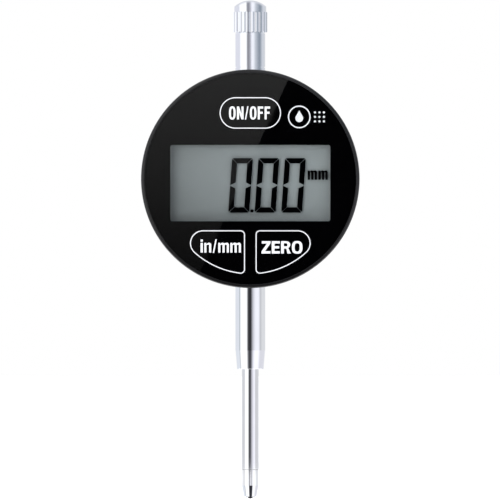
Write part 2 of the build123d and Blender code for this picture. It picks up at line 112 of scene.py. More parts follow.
class Paint(Nodes):
    """A procedural material."""

    def __init__(self, name):
        self.material = bpy.data.materials.new(name)
        self.material.use_nodes = True
        super().__init__(self.material.node_tree)
        self.output = self.tree.nodes.new("ShaderNodeOutputMaterial")
        self.place = self.tree.nodes.new("ShaderNodeTexCoord").outputs["Object"]

    def node(self, kind, **inputs):
        """A node with its inputs set or linked, by socket name with underscores for spaces."""
        made = self.tree.nodes.new(kind)
        for name, value in inputs.items():
            self.plug(made.inputs[name.replace("_", " ")], value)
        return made

    def noise(self, size_mm, detail=3.0, stretch=(1, 1, 1)):
        """Noise with features of about size_mm, drawn out along the axes where stretch is over 1."""
        place = self.node("ShaderNodeMapping", Vector=self.place, Scale=tuple(1 / s for s in stretch))
        scale = 1 / (size_mm * MM)
        made = self.node("ShaderNodeTexNoise", Vector=place.outputs[0], Scale=scale, Detail=detail)
        return made.outputs[0]

    def bands(self, pitch_mm, axis, distortion=0.0):
        """Smooth parallel bands across one axis."""
        made = self.node("ShaderNodeTexWave", Vector=self.place, Scale=math.pi / 10 / (pitch_mm * MM),
                         Distortion=distortion)
        made.bands_direction = axis
        return made.outputs["Fac"]

    def between(self, value, low, high):
        """Maps a 0 to 1 value onto low to high."""
        made = self.node("ShaderNodeMapRange", Value=value)
        made.inputs["To Min"].default_value = low
        made.inputs["To Max"].default_value = high
        return made.outputs[0]

    def tint(self, value, *stops):
        """A colour ramp of (position, (r, g, b)) stops."""
        made = self.node("ShaderNodeValToRGB", Fac=value)
        ramp = made.color_ramp
        while len(ramp.elements) < len(stops):
            ramp.elements.new(0.5)
        for element, (position, colour) in zip(ramp.elements, stops):
            element.position = position
            element.color = (*colour, 1)
        return made.outputs[0]

    def bump(self, height, depth_mm):
        """A bump of the given depth."""
        return self.node("ShaderNodeBump", Height=height, Distance=depth_mm * MM, Strength=1.0).outputs[0]

    def finish(self, shader):
        """Connects the finished shader and returns the material."""
        self.tree.links.new(shader, self.output.inputs["Surface"])
        return self.material

    def principled(self, **inputs):
        """Finishes the material with a Principled shader."""
        return self.finish(self.node("ShaderNodeBsdfPrincipled", **inputs).outputs[0])


def shades(colour, spread):
    """Two stops a little darker and lighter than a colour."""
    return (0.3, tuple(c * (1 - spread) for c in colour)), (0.7, tuple(c * (1 + spread) for c in colour))


def moulded(name, colour, rough=0.45, grain_mm=0.12, grain_depth=0.004, spread=0.12):
    """Moulded plastic or rubber with a fine eroded texture."""
    paint = Paint(name)
    grain = paint.noise(grain_mm, 2.0)
    cloud = paint.noise(6.0)
    return paint.principled(
        Base_Color=paint.tint(cloud, *shades(colour, spread)),
        Roughness=paint.between(grain, rough - 0.06, rough + 0.06),
        Normal=paint.bump(grain, grain_depth),
    )


def gloss_black(name, specular, rough):
    """Deep black gloss plastic or print with a faint polishing haze."""
    paint = Paint(name)
    haze = paint.noise(3.0, 4.0)
    return paint.principled(
        Base_Color=paint.tint(haze, (0.3, (0.0003, 0.0003, 0.0004)), (0.7, (0.0005, 0.0005, 0.0006))),
        Roughness=paint.between(haze, rough, rough + 0.015),
        Specular_IOR_Level=specular,
    )


def turned_metal(name, colour, rough, line_mm=0.06, line_depth=0.00004, spread=0.015):
    """Turned or ground metal, with fine marks around the Z axis."""
    paint = Paint(name)
    lines = paint.noise(line_mm, 2.0, (60, 60, 1))
    cloud = paint.noise(5.0)
    return paint.principled(
        Base_Color=paint.tint(cloud, *shades(colour, spread)),
        Metallic=1.0,
        Roughness=paint.between(lines, rough * 0.7, rough * 1.3),
        Normal=paint.bump(lines, line_depth),
    )


def plain_metal(name, colour, rough, grain_mm=0.3, spread=0.05, grain_depth=0.001):
    """Rolled, plated or milled metal with an even fine grain."""
    paint = Paint(name)
    grain = paint.noise(grain_mm, 4.0)
    return paint.principled(
        Base_Color=paint.tint(grain, *shades(colour, spread)),
        Metallic=1.0,
        Roughness=paint.between(grain, rough - 0.05, rough + 0.08),
        Normal=paint.bump(grain, grain_depth),
    )


def clear(name, tint, head_on):
    """Clear sheet or glass that reflects head_on of the light square on and more at a slant."""
    paint = Paint(name)
    smear = paint.noise(9.0, 2.0)
    through = paint.node("ShaderNodeBsdfTransparent", Color=(*tint, 1))
    sheen = paint.tint(smear, *shades((0.98, 0.98, 0.98), 0.02))
    shine = paint.node("ShaderNodeBsdfGlossy", Color=sheen, Roughness=0.0)
    slant = paint.node("ShaderNodeLayerWeight", Blend=0.5).outputs["Facing"]
    steep = paint.maths("POWER", slant, 5.0)
    amount = paint.maths("MULTIPLY_ADD", steep, 1 - head_on, head_on)
    mixed = paint.node("ShaderNodeMixShader", Fac=amount)
    paint.tree.links.new(through.outputs[0], mixed.inputs[1])
    paint.tree.links.new(shine.outputs[0], mixed.inputs[2])
    return paint.finish(mixed.outputs[0])


def printed_white():
    """Silk-screened white ink with a slightly uneven coat."""
    paint = Paint("white_ink")
    coat = paint.noise(0.25, 3.0)
    return paint.principled(
        Base_Color=paint.tint(coat, (0.3, (0.86, 0.87, 0.89)), (0.7, (0.92, 0.93, 0.94))),
        Roughness=paint.between(coat, 0.4, 0.55),
        Normal=paint.bump(coat, 0.002),
    )


def circuit_board(name, mask, trace, pitch_mm):
    """Solder mask over tracks that run along X and Z."""
    paint = Paint(name)
    along = paint.bands(pitch_mm, "X", 1.2)
    across = paint.bands(pitch_mm * 1.7, "Z", 0.8)
    tracks = paint.maths("MULTIPLY", along, across)
    edges = paint.tint(tracks, (0.38, mask), (0.44, trace))
    return paint.principled(
        Base_Color=edges,
        Roughness=paint.between(paint.noise(1.0), 0.25, 0.4),
        Normal=paint.bump(tracks, 0.02),
    )


def layered(name, dark, light, pitch_mm, axis, rough):
    """Alternating layers across one axis, such as a zebra strip or an encoder scale."""
    paint = Paint(name)
    layers = paint.bands(pitch_mm, axis)
    return paint.principled(
        Base_Color=paint.tint(layers, (0.45, dark), (0.55, light)),
        Roughness=paint.between(layers, rough, rough + 0.1),
    )


# painted light: how fast the display's film is painted paler rightwards and upwards, per metre, and its
# painted shade at the head's centre
PAINTED_LIGHT_RIGHT, PAINTED_LIGHT_UP, PAINTED_LIGHT_MIDDLE = 13.0, 17.0, 0.33
MOTTLE = 0.08


def reflector():
    """The grey diffuse film behind the display, faintly mottled, with painted light that makes it palest at
    its upper right.
    """
    paint = Paint("display_reflector")
    mottle = paint.noise(5.0, 3.0)
    grain = paint.noise(0.08, 2.0)
    x, _, z = paint.node("ShaderNodeSeparateXYZ", Vector=paint.place).outputs
    # painted light and shade: the grey grows paler to the right and upwards and darker to the lower left,
    # standing in for how the light falls across the display
    shade = paint.maths("MULTIPLY_ADD", x, PAINTED_LIGHT_RIGHT, PAINTED_LIGHT_MIDDLE)
    shade = paint.maths("MULTIPLY_ADD", paint.maths("SUBTRACT", z, HEAD_Z * MM), PAINTED_LIGHT_UP, shade)
    shade = paint.maths("MULTIPLY_ADD", mottle, MOTTLE, shade)
    return paint.principled(
        Base_Color=paint.tint(shade, (0.0, (0.213, 0.226, 0.230)), (1.0, (0.423, 0.450, 0.457))),
        Roughness=paint.between(grain, 0.5, 0.65),
        Normal=paint.bump(grain, 0.002),
    )


steel = (0.86, 0.87, 0.89)
zinc = (0.62, 0.63, 0.65)
bronze = (0.66, 0.44, 0.20)
white_ink = printed_white()
segment_ink = gloss_black("segment_ink", specular=0.0, rough=0.5)
materials = {
    "case": (
        moulded("case_plastic", (0.005, 0.0049, 0.0053), rough=0.34),
        "front_housing rear_cover battery_hatch",
    ),
    "lens": (clear("clear_lens", (0.99, 0.995, 0.995), head_on=0.04), "face_lens"),
    "film": (gloss_black("print_film", specular=0.0, rough=0.5), "face_film"),
    "keys": (
        gloss_black("key_plastic", specular=1.0, rough=0.0),
        "on_off_button unit_button zero_button",
    ),
    "display_glass": (clear("lcd_glass", (0.98, 0.99, 0.985), head_on=0.003), "lcd_panel"),
    "reflector": (reflector(), "lcd_reflector"),
    # the contact_washer between the spindle and its contact point is black rubber, partly as a real washer
    # and partly as painted shade: the dark line of the shaded seam there
    "rubber": (
        moulded("black_rubber", (0.02, 0.02, 0.021), rough=0.7, grain_mm=0.2, grain_depth=0.01),
        "rear_gasket wiper_seal lower_bumper upper_bumper hatch_seal contact_washer",
    ),
    "silicone": (moulded("grey_silicone", (0.20, 0.21, 0.22), rough=0.6), "keypad_membrane"),
    "zebra": (
        layered("zebra_rubber", (0.02, 0.02, 0.02), (0.35, 0.33, 0.36), pitch_mm=0.18, axis="X", rough=0.5),
        "zebra_strips",
    ),
    "white": (
        moulded(
            "white_plastic", (0.70, 0.69, 0.65), rough=0.4, grain_mm=0.3, grain_depth=0.002, spread=0.05,
        ),
        "lcd_frame guide_shoe",
    ),
    "screws": (
        plain_metal("screw_steel", zinc, rough=0.28),
        "cover_screws board_screws carrier_screws rail_pins guide_pin spring_post spring_stud",
    ),
    "board": (
        circuit_board("circuit_board", mask=(0.008, 0.09, 0.03), trace=(0.02, 0.20, 0.07), pitch_mm=1.27),
        "main_board reader_board",
    ),
    "scale": (
        layered("scale_board", (0.03, 0.16, 0.06), (0.72, 0.50, 0.20), pitch_mm=0.64, axis="Z", rough=0.3),
        "scale_strip",
    ),
    "epoxy": (
        moulded("chip_black", (0.018, 0.018, 0.02), rough=0.55, grain_mm=0.1, grain_depth=0.003),
        "processor on_off_switch unit_switch zero_switch battery_tray",
    ),
    "plunger": (
        moulded("switch_plunger", (0.55, 0.12, 0.04), rough=0.45),
        "on_off_plunger unit_plunger zero_plunger",
    ),
    "can": (plain_metal("crystal_can", (0.70, 0.70, 0.70), rough=0.3), "crystal"),
    "stem": (turned_metal("stem_steel", steel, rough=0.015), "stem"),
    "sleeve": (
        turned_metal("sleeve_steel", (0.84, 0.86, 0.89), rough=0.05),
        "top_sleeve top_cap cap_washer",
    ),
    "spindle": (turned_metal("spindle_steel", steel, rough=0.015), "spindle contact_point"),
    "ball": (turned_metal("ball_steel", (0.80, 0.81, 0.83), rough=0.03), "contact_ball"),
    "bronze": (
        turned_metal("bush_bronze", bronze, rough=0.3, line_mm=0.15, line_depth=0.001),
        "stem_lower_bush stem_upper_bush sleeve_bush",
    ),
    "aluminium": (
        plain_metal("machined_aluminium", (0.72, 0.73, 0.74), rough=0.38, grain_mm=0.15),
        "scale_carrier guide_rail",
    ),
    "spring": (plain_metal("spring_steel", (0.55, 0.55, 0.57), rough=0.25, grain_mm=0.1), "return_spring"),
    "battery": (
        plain_metal(
            "battery_steel", (0.74, 0.74, 0.74), rough=0.32, grain_mm=3.0, spread=0.02, grain_depth=0.0002,
        ),
        "battery",
    ),
    "brass": (
        plain_metal("contact_brass", (0.78, 0.60, 0.30), rough=0.3),
        "battery_contact_negative battery_contact_positive battery_leads",
    ),
}
for material, names in materials.values():
    for node_name in names.split():
        mesh = nodes[node_name].data
        mesh.materials.clear()
        mesh.materials.append(material)
unpainted = [n for n in nodes if not any(n in names.split() for _, names in materials.values())]
assert not unpainted, unpainted

# ---------------------------------------------------------------- flat pieces from outlines


def arc(cx, cy, rx, ry, start, end, steps=12):
    """Points of an elliptical arc, its angles in degrees."""
    angles = [math.radians(start + (end - start) * i / steps) for i in range(steps + 1)]
    return [(cx + rx * math.cos(a), cy + ry * math.sin(a)) for a in angles]


def plate(name, loops, front, thickness, body, material):
    """A thin piece facing the front, from closed outlines of (x, height) in mm; an inner loop is a hole."""
    curve = bpy.data.curves.new(name, "CURVE")
    curve.dimensions = "2D"
    curve.fill_mode = "BOTH"
    curve.extrude = thickness / 2 * MM
    for loop in loops:
        spline = curve.splines.new("POLY")
        spline.points.add(len(loop) - 1)
        for point, (x, z) in zip(spline.points, loop):
            point.co = (x * MM, z * MM, 0, 1)
        spline.use_cyclic_u = True
    drawn = bpy.data.objects.new(name + "_curve", curve)
    mesh = bpy.data.meshes.new_from_object(drawn)
    bpy.data.objects.remove(drawn)
    bpy.data.curves.remove(curve)
    depth = (front + thickness / 2) * MM
    mesh.transform(Matrix.Translation((0, depth, 0)) @ Matrix.Rotation(math.pi / 2, 4, "X"))
    return piece(name, mesh, material, body)


def piece(name, mesh, material, body):
    """A new object in the scene that rides on a body."""
    mesh.name = name
    mesh.materials.clear()
    mesh.materials.append(material)
    made = bpy.data.objects.new(name, mesh)
    scene.collection.objects.link(made)
    if body:
        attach(made, body)
    return made


# ---------------------------------------------------------------- lettering


class Letters:
    """Plain bold letters as outlines, in units of the capital height, with upright strokes stem wide."""

    X_HEIGHT = 0.745

    def __init__(self, stem, bar, gap, round_width=0.60):
        self.stem, self.bar, self.gap = stem, bar, gap
        self.drawn = {
            "O": (self.capital_o, round_width), "N": (self.capital_n, 0.60), "F": (self.capital_f, 0.50),
            "Z": (self.capital_z, 0.64), "E": (self.capital_e, 0.58), "R": (self.capital_r, 0.68),
            "/": (self.slash, 0.33), "i": (self.small_i, stem),
            "n": (lambda width: self.arches(width, 1), 0.56),
            "m": (lambda width: self.arches(width, 2), 0.86),
        }

    def capital_o(self, width):
        """An upright ring, squarer than an ellipse."""
        def oval(inset_x, inset_y, power):
            half_w, half_h = width / 2 - inset_x, 0.5 - inset_y
            points = []
            for i in range(40):
                turn = 2 * math.pi * i / 40
                x = math.copysign(abs(math.cos(turn)) ** power, math.cos(turn))
                z = math.copysign(abs(math.sin(turn)) ** power, math.sin(turn))
                points.append((width / 2 + half_w * x, 0.5 + half_h * z))
            return points
        return [oval(0, -0.015, 0.78), oval(self.stem, self.bar * 0.85, 0.72)]

    def capital_n(self, width):
        stem, inner = self.stem, width - self.stem
        return [[
            (0, 0), (0, 1), (stem * 1.05, 1), (inner, 0.42), (inner, 1), (width, 1),
            (width, 0), (inner * 0.98, 0), (stem, 0.58), (stem, 0),
        ]]

    def capital_f(self, width):
        stem, bar, middle = self.stem, self.bar, 0.6
        return [[
            (0, 0), (0, 1), (width, 1), (width, 1 - bar), (stem, 1 - bar), (stem, middle),
            (width * 0.9, middle), (width * 0.9, middle - bar), (stem, middle - bar), (stem, 0),
        ]]

    def capital_e(self, width):
        stem, bar, middle = self.stem, self.bar, 0.6
        return [[
            (0, 0), (0, 1), (width, 1), (width, 1 - bar), (stem, 1 - bar), (stem, middle),
            (width * 0.92, middle), (width * 0.92, middle - bar), (stem, middle - bar), (stem, bar),
            (width, bar), (width, 0),
        ]]

    def capital_z(self, width):
        bar, slope = self.bar, self.stem * 1.25
        return [[
            (0.02, 1), (width, 1), (width, 1 - bar * 0.9), (slope, bar), (width, bar), (width, 0),
            (0, 0), (0, bar * 0.9), (width - slope, 1 - bar), (0.02, 1 - bar),
        ]]

    def capital_r(self, width):
        stem, bar = self.stem, self.bar * 0.88
        bowl_r, bowl_x = 0.29, width - 0.31
        bowl_z = 1 - bowl_r
        outline = [
            (0, 0), (0, 1), *arc(bowl_x, bowl_z, bowl_r, bowl_r, 90, -62), (width + 0.02, 0),
            (width - stem * 1.15, 0), (width * 0.56, 0.4), (stem, 0.4), (stem, 0),
        ]
        inner = arc(bowl_x, bowl_z, bowl_r - stem, bowl_r - bar, 90, -90)
        eye = [(stem, 1 - bar), *inner, (stem, 1 - 2 * bowl_r + bar)]
        return [outline, eye]

    def slash(self, width):
        stroke = 0.11
        return [[(0, -0.02), (width - stroke, 1.02), (width, 1.02), (stroke, -0.02)]]

    def small_i(self, width):
        dot_low = 0.84
        return [
            [(0, 0), (0, self.X_HEIGHT), (width, self.X_HEIGHT), (width, 0)],
            [(0, dot_low), (0, 1), (width, 1), (width, dot_low)],
        ]

    def arches(self, width, count):
        """A lower-case n or m: a stem and count arches."""
        stem = self.stem * 0.92
        pitch = (width - stem) / count
        top, spring_line = self.X_HEIGHT + 0.015, self.X_HEIGHT - 0.17
        serif = stem * 0.9
        outline = [(0, 0), (0, self.X_HEIGHT), (serif, self.X_HEIGHT), (serif, self.X_HEIGHT - 0.09)]
        for i in range(count):
            radius = (pitch + stem) / 2 * 0.62
            centre = stem + pitch * (i + 1) - radius
            last = 0 if i == count - 1 else 48
            outline += arc(centre, spring_line, radius, top - spring_line, 128, last)
        outline += [(width, 0), (width - stem, 0)]
        for i in reversed(range(count)):
            left, right = stem + pitch * i, pitch * (i + 1)
            centre, half = (left + right) / 2, (right - left) / 2
            outline += arc(centre, spring_line, half, top - 0.16 - spring_line, 0, 180)
            outline += [(left, 0), (left - stem, 0)] if i else [(left, 0)]
        return [outline]

    def word(self, text, left, right, base, height):
        """The outlines of a word that fills the width from left to right on a base line."""
        total = sum(self.drawn[c][1] for c in text) + self.gap * (len(text) - 1)
        across = (right - left) / total
        loops = []
        x = 0.0
        for character in text:
            draw, width = self.drawn[character]
            for loop in draw(width):
                loops.append([(left + (x + px) * across, base + pz * height) for px, pz in loop])
            x += width + self.gap
        return loops


key_letters = Letters(stem=0.185, bar=0.165, gap=0.12)
zero_letters = Letters(stem=0.20, bar=0.19, gap=0.09, round_width=0.76)
display_letters = Letters(stem=0.24, bar=0.2, gap=0.12)

# ---------------------------------------------------------------- key legends
OUTLINE_W = 0.25
OUTLINE_MARGIN = 0.04
INK_T = 0.02
INK_SINK = 0.002


def front_outline(node):
    """The edge of a key's flat front as an ordered loop of (x, height) in mm."""
    mesh = nodes[node].data
    front = min(v.co.y for v in mesh.vertices)
    flat = [p for p in mesh.polygons if all(mesh.vertices[i].co.y < front + 1e-6 for i in p.vertices)]
    # an edge that only one face has is on the outside
    sides = {}
    for polygon in flat:
        ring = [tuple(round(c / MM, 4) for c in mesh.vertices[i].co.xz) for i in polygon.vertices]
        for start, end in zip(ring, ring[1:] + ring[:1]):
            sides[(start, end)] = True
    following = {start: end for start, end in sides if (end, start) not in sides}
    loop = [next(iter(following))]
    while following[loop[-1]] != loop[0]:
        loop.append(following[loop[-1]])
    return loop


def inset(loop, distance):
    """A smooth rounded loop moved inwards by a distance."""
    centre = Vector((sum(x for x, _ in loop), sum(z for _, z in loop))) / len(loop)
    moved = []
    for before, here, after in zip(loop[-1:] + loop[:-1], loop, loop[1:] + loop[:1]):
        along = (Vector(after) - Vector(before)).normalized()
        inward = Vector((-along.y, along.x))
        if inward.dot(centre - Vector(here)) < 0:
            inward = -inward
        moved.append(tuple(Vector(here) + inward * distance))
    return moved


# letters, text, left and right ends, base line above the head's centre, and height of the capitals
LEGENDS = {
    "on_off": (key_letters, "ON/OFF", -5.7, 5.3, 15.87, 3.45),
    "unit": (key_letters, "in/mm", -13.3, -2.5, -19.75, 3.5),
    "zero": (zero_letters, "ZERO", 3.0, 13.95, -20.0, 3.3),
}
for key, (letters, text, left, right, base, height) in LEGENDS.items():
    edge = front_outline(key + "_button")
    loops = [inset(edge, OUTLINE_MARGIN), inset(edge, OUTLINE_MARGIN + OUTLINE_W)]
    loops += letters.word(text, left, right, HEAD_Z + base, height)
    front = KEY_FRONT - INK_T + INK_SINK
    plate(key + "_legend", loops, front, INK_T, key + "_key", white_ink)

# ---------------------------------------------------------------- mark: a drop in a ring and a grid of dots
MARK_X, MARK_Z, MARK_R, MARK_LINE = 13.1, 16.55, 3.05, 0.34
DROP_R, DROP_DOWN, DROP_TIP = 1.05, 0.35, 1.75
DOTS_RIGHT, DOT_PITCH, DOT_R = 5.4, 1.2, 0.3


def circle(x, z, radius, steps=48):
    return arc(x, z, radius, radius, 0, 360 * (steps - 1) / steps, steps - 1)


drop = [(MARK_X, MARK_Z + DROP_TIP), *arc(MARK_X, MARK_Z - DROP_DOWN, DROP_R, DROP_R, 28, -208, 24)]
grid = (-DOT_PITCH, 0, DOT_PITCH)
dots = [circle(MARK_X + DOTS_RIGHT + dx, MARK_Z + dz, DOT_R, 16) for dx in grid for dz in grid]
mark = [circle(MARK_X, HEAD_Z + MARK_Z, radius) for radius in (MARK_R, MARK_R - MARK_LINE)]
mark += [[(x, HEAD_Z + z) for x, z in loop] for loop in [drop, *dots]]
plate("face_marks", mark, FILM_FRONT - INK_T, INK_T, "head", white_ink)

# ---------------------------------------------------------------- display segments
DIGIT_W, DIGIT_H, DIGIT_T, DIGIT_GAP = 5.6, 14.6, 1.42, 0.09
DIGIT_BASE = -9.05
DIGIT_LEFTS = (-5.9, 1.16, 8.26)
SLANT = math.tan(math.radians(4))
MITRE = 0.35
POINT_X, POINT_Z, POINT_R = 0.45, -8.6, 0.42
UNIT_LEFT, UNIT_RIGHT, UNIT_BASE, UNIT_H = 15.35, 20.75, -0.25, 3.3
SEGMENT_Y, SEGMENT_T = CELL_BACK - 0.75, 0.03


def zero_segments():
    """The six lit segments of a nought, mitred at the corners and slanted next to the unlit middle one."""
    w, h, t, g = DIGIT_W, DIGIT_H, DIGIT_T, DIGIT_GAP
    middle, near = h / 2, MITRE * 0.4
    top = [
        (MITRE + g, h), (w - MITRE - g, h), (w - near - g, h - near),
        (w - t - g, h - t), (t + g, h - t), (near + g, h - near),
    ]
    side = [
        (0, middle + g), (0, h - MITRE - g), (near, h - near - g), (t, h - t - g), (t, middle + t * 0.55),
    ]
    upper = [top, side, [(w - x, z) for x, z in side]]
    return upper + [[(x, h - z) for x, z in loop] for loop in upper]


segments = []
for left in DIGIT_LEFTS:
    for loop in zero_segments():
        segments.append([(left + x + z * SLANT, HEAD_Z + DIGIT_BASE + z) for x, z in loop])
segments.append(circle(POINT_X, HEAD_Z + POINT_Z, POINT_R, 20))
segments += display_letters.word("mm", UNIT_LEFT, UNIT_RIGHT, HEAD_Z + UNIT_BASE, UNIT_H)
plate("display_segments", segments, SEGMENT_Y, SEGMENT_T, "head", segment_ink)

# ---------------------------------------------------------------- return spring
spring_low, spring_high = box_mm("return_spring")
WIRE_R = 0.2
COILS, STEPS = 15, 28
END_TURNS = 1.5
CLOSED_PITCH = 2.2 * WIRE_R
coil_r = (spring_high.x - spring_low.x) / 2 - WIRE_R
coil_x = (spring_high.x + spring_low.x) / 2
coil_y = (spring_high.y + spring_low.y) / 2
coil_bottom, coil_top = spring_low.z + WIRE_R, spring_high.z - WIRE_R


def coil_height(turn):
    """Height along the spring, with closed turns at both ends."""
    if turn < END_TURNS:
        return coil_bottom + turn * CLOSED_PITCH
    if turn > COILS - END_TURNS:
        return coil_top - (COILS - turn) * CLOSED_PITCH
    end = END_TURNS * CLOSED_PITCH
    open_part = coil_top - coil_bottom - 2 * end
    return coil_bottom + end + open_part * (turn - END_TURNS) / (COILS - 2 * END_TURNS)


def spring_piece():
    """The coil as a fixed wire helix, with closed turns at both ends, in place of the return_spring part,
    which it hides.
    """
    curve = bpy.data.curves.new("spring_curve", "CURVE")
    curve.dimensions = "3D"
    curve.bevel_depth = WIRE_R * MM
    curve.bevel_resolution = 3
    curve.use_fill_caps = True
    spline = curve.splines.new("POLY")
    spline.points.add(COILS * STEPS)
    for i, point in enumerate(spline.points):
        turn = i / STEPS
        angle = 2 * math.pi * turn
        x, y = coil_x + coil_r * math.cos(angle), coil_y + coil_r * math.sin(angle)
        point.co = (x * MM, y * MM, coil_height(turn) * MM, 1)
    drawn = bpy.data.objects.new("spring_curve", curve)
    mesh = bpy.data.meshes.new_from_object(drawn)
    bpy.data.objects.remove(drawn)
    for polygon in mesh.polygons:
        polygon.use_smooth = True
    made = piece("return_spring_coil", mesh, materials["spring"][0], None)
    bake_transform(made)
    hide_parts("return_spring")


spring_piece()

# ---------------------------------------------------------------- floor, camera and light
CAMERA_DISTANCE = 3.0
VIEW_WIDTH = 0.1343
VIEW_HEIGHT = (HEAD_Z - 19.06) * MM
VIEW_X = -0.00008
FLOOR_HALF, FLOOR_GAP = 3, 0.0008


def floor():
    """A plain pale floor just below the contact ball."""
    low = cad_box[0].z - FLOOR_GAP
    mesh = bpy.data.meshes.new("floor")
    corners = [(x * FLOOR_HALF, y * FLOOR_HALF, low) for x, y in ((-1, -1), (1, -1), (1, 1), (-1, 1))]
    mesh.from_pydata(corners, [], [(0, 1, 2, 3)])
    paint = Paint("floor_paint")
    mesh.materials.append(paint.principled(
        Base_Color=paint.tint(paint.noise(60), (0.3, (0.90, 0.90, 0.90)), (0.7, (0.92, 0.92, 0.92))),
        Roughness=0.9,
    ))
    made = bpy.data.objects.new("floor", mesh)
    made.visible_glossy = False
    scene.collection.objects.link(made)


def camera():
    """A long lens in front of the face, level with the middle of the picture."""
    data = bpy.data.cameras.new("camera")
    data.sensor_width = 36
    data.lens = data.sensor_width * CAMERA_DISTANCE / VIEW_WIDTH
    data.clip_start, data.clip_end = 0.05, 20
    made = bpy.data.objects.new("camera", data)
    made.location = (VIEW_X, -CAMERA_DISTANCE, VIEW_HEIGHT)
    made.rotation_euler = (math.pi / 2, 0, 0)
    scene.collection.objects.link(made)
    scene.camera = made


# What stands round the object, as (degrees to the right of straight out from the face, brightness and tint).
# Each ring is named after the metal that reflects it towards the camera.
WHITE = (1.25, 1.25, 1.25)
AROUND_SLEEVE = (
    (-180, (0.70, 0.70, 0.76)), (-160, (0.84, 0.84, 0.92)), (-92, (0.84, 0.84, 0.92)), (-78, WHITE),
    (-32, WHITE), (-22, (0.34, 0.34, 0.38)), (-10, (0.34, 0.34, 0.38)), (0, (0.60, 0.60, 0.66)),
    (8, (0.94, 0.94, 1.02)), (15, (1.08, 1.08, 1.14)), (25, (1.05, 1.06, 1.12)),
    (40, (0.64, 0.67, 0.73)), (56, (0.44, 0.48, 0.55)), (72, (0.29, 0.33, 0.39)),
    (84, (0.33, 0.37, 0.43)), (104, (0.68, 0.71, 0.77)), (160, (0.78, 0.79, 0.81)),
    (180, (0.70, 0.70, 0.76)),
)
AROUND_STEM = (
    (-180, (0.80, 0.83, 0.88)), (-100, (0.84, 0.87, 0.94)), (-92, (0.55, 0.59, 0.63)),
    (-86, (0.58, 0.62, 0.66)), (-80, WHITE), (-30, WHITE), (-18, (0.10, 0.10, 0.11)),
    (-10, (0.045, 0.045, 0.05)), (4, (0.035, 0.035, 0.04)), (10, (0.20, 0.20, 0.22)),
    (20, (0.60, 0.60, 0.66)), (32, (0.88, 0.88, 0.96)), (42, (1.03, 1.03, 1.10)),
    (66, (1.06, 1.06, 1.14)), (75, (0.84, 0.84, 0.90)), (84, (0.61, 0.62, 0.65)),
    (105, (0.81, 0.82, 0.84)), (180, (0.76, 0.77, 0.80)),
)
AROUND_STEM_TAPER = (
    (-180, (0.80, 0.83, 0.88)), (-100, (0.86, 0.90, 0.97)), (-90, (0.62, 0.64, 0.68)), (-80, WHITE),
    (-30, WHITE), (-16, (0.16, 0.16, 0.18)), (-8, (0.07, 0.07, 0.08)), (3, (0.06, 0.06, 0.07)),
    (10, (0.26, 0.26, 0.29)), (18, (0.66, 0.66, 0.72)), (27, (0.98, 0.98, 1.07)),
    (36, (1.15, 1.14, 1.22)), (66, (1.15, 1.14, 1.22)), (84, (0.80, 0.80, 0.86)),
    (180, (0.84, 0.84, 0.90)),
)
AROUND_SPINDLE = (
    (-180, (0.80, 0.81, 0.83)), (-84, (0.70, 0.70, 0.73)), (-79, WHITE), (-31, WHITE),
    (-20, (0.09, 0.09, 0.10)), (4, (0.09, 0.09, 0.10)), (13, (0.40, 0.39, 0.43)),
    (28, (0.72, 0.71, 0.78)), (42, (0.95, 0.94, 1.02)), (56, (1.08, 1.07, 1.14)),
    (66, (1.0, 0.99, 1.05)), (77, (0.69, 0.69, 0.72)), (180, (0.78, 0.78, 0.80)),
)
AROUND_TIP = (
    (-180, (0.95, 0.95, 0.96)), (-110, (0.93, 0.93, 0.95)), (-90, (0.82, 0.82, 0.84)), (-78, WHITE),
    (-24, WHITE), (-18, (0.26, 0.26, 0.29)), (-11, (0.30, 0.30, 0.33)), (-5, (0.90, 0.90, 0.94)),
    (4, (0.90, 0.90, 0.94)), (12, (0.62, 0.62, 0.66)), (20, (0.64, 0.64, 0.68)),
    (30, (0.95, 0.95, 1.0)), (38, WHITE), (76, WHITE), (96, (0.84, 0.86, 0.89)),
    (180, (0.95, 0.95, 0.96)),
)
AROUND_TIP_TAPER = (
    (-180, (0.80, 0.83, 0.88)), (-100, (0.86, 0.90, 0.97)), (-90, (0.58, 0.60, 0.64)),
    (-84, (0.60, 0.62, 0.66)), (-79, WHITE), (-22, WHITE), (-17, (0.04, 0.04, 0.05)),
    (29, (0.04, 0.04, 0.05)), (35, (0.90, 0.89, 0.96)), (41, WHITE), (80, (1.12, 1.11, 1.17)),
    (92, (0.82, 0.81, 0.86)), (180, (0.82, 0.82, 0.88)),
)
# Where one ring gives way to the next, as a height in mm at the camera's distance. An upright cylinder sends
# the camera's view on at the same slope, so the first three are the lower ends of the pieces. A taper leans
# down and reflects what stands lower still, the steeper one of the tip the lowest.
STEM_TAPER_FROM, TIP_TAPER_FROM = -130, -730
RINGS_BELOW = (
    (HEAD_Z, AROUND_STEM),
    (box_mm("stem")[0].z, AROUND_SPINDLE),
    (box_mm("spindle")[0].z, AROUND_TIP),
    (STEM_TAPER_FROM, AROUND_STEM_TAPER),
    (TIP_TAPER_FROM, AROUND_TIP_TAPER),
)
# the radius of the cap's dome over that of its side
CAP_DOME_BULGE = 1.46
# Behind and above, underneath, and the dark patch underneath, which reaches PATCH_HALF to each side
PALE_BEHIND, PALE_BELOW, DARK_BELOW = (0.78, 0.79, 0.84, 1), (2.0, 2.0, 2.0, 1), (0.05, 0.05, 0.055, 1)
PATCH_HALF = 0.85
# The cards ahead, in units of the distance to them. The grey one has a slanting edge, and it goes from one
# brightness to another between two heights: CARD_RISE gives both heights and then both brightnesses.
CARD_SLOPE, CARD_SHIFT = 0.4587, -0.01072
CARD_RISE = (-0.006, 0.024, 0.035, 0.335)
BLACK_CARD = (0.004, 0.004, 0.006, 1)
CARD_SIDE, CARD_LOW, CARD_TOP = 0.014, -0.014, 0.019


